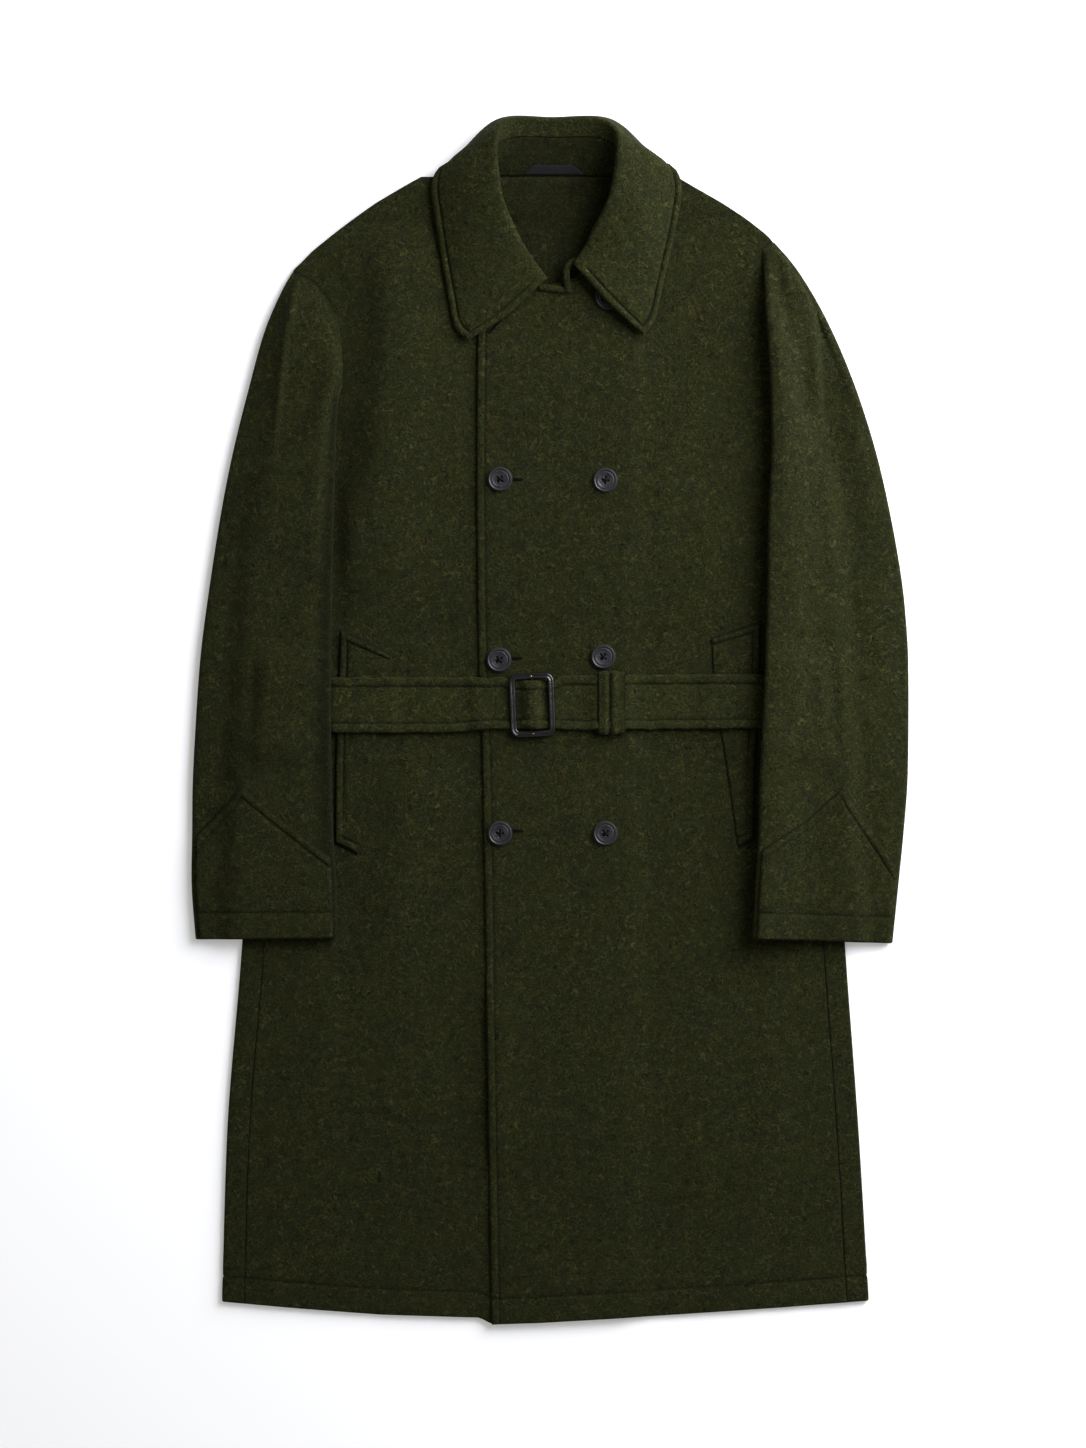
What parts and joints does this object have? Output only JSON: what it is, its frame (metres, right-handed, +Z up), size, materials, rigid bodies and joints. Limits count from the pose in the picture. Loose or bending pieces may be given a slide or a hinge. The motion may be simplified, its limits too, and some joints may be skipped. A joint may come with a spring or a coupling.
{
  "type": "double-breasted coat",
  "caption": "Knee-length double-breasted wool overcoat laid flat on its back, with a turned-down collar, buckled belt, slanted welt pockets and pointed cuffs.",
  "frame": {"origin": "on the surface that the coat lies on, below the middle of its box", "axes": "+Y from the hem to the collar, +X towards the wearer's left, +Z up off the surface"},
  "size_m": [0.716, 1.2056, 0.0393],
  "materials": {
    "coat_cloth": "brushed dark olive melange wool, matt with a soft nap",
    "button": "polished charcoal",
    "buckle": "gloss black",
    "brass": "dull brass",
    "tape": "smooth dark satin tape, blank"
  },
  "bodies": {
    "root": {"back": "coat_cloth", "side_panel_left_of_image": "coat_cloth", "side_panel_right_of_image": "coat_cloth", "front_under": "coat_cloth", "front_upper": "coat_cloth", "collar_stand": "coat_cloth", "collar_fall": "coat_cloth", "neck_tape": "tape", "sleeve_left_of_image": "coat_cloth", "sleeve_right_of_image": "coat_cloth", "cuff_left_of_image": "coat_cloth", "cuff_right_of_image": "coat_cloth", "welt_left_of_image": "coat_cloth", "welt_right_of_image": "coat_cloth", "belt": "coat_cloth", "belt_keeper": "coat_cloth", "buckle_frame": "buckle", "buckle_bar": "brass", "button_1": "button", "button_2": "button", "button_3": "button", "button_4": "button", "button_5": "button", "button_6": "button", "button_7": "button"}
  },
  "joints": []
}
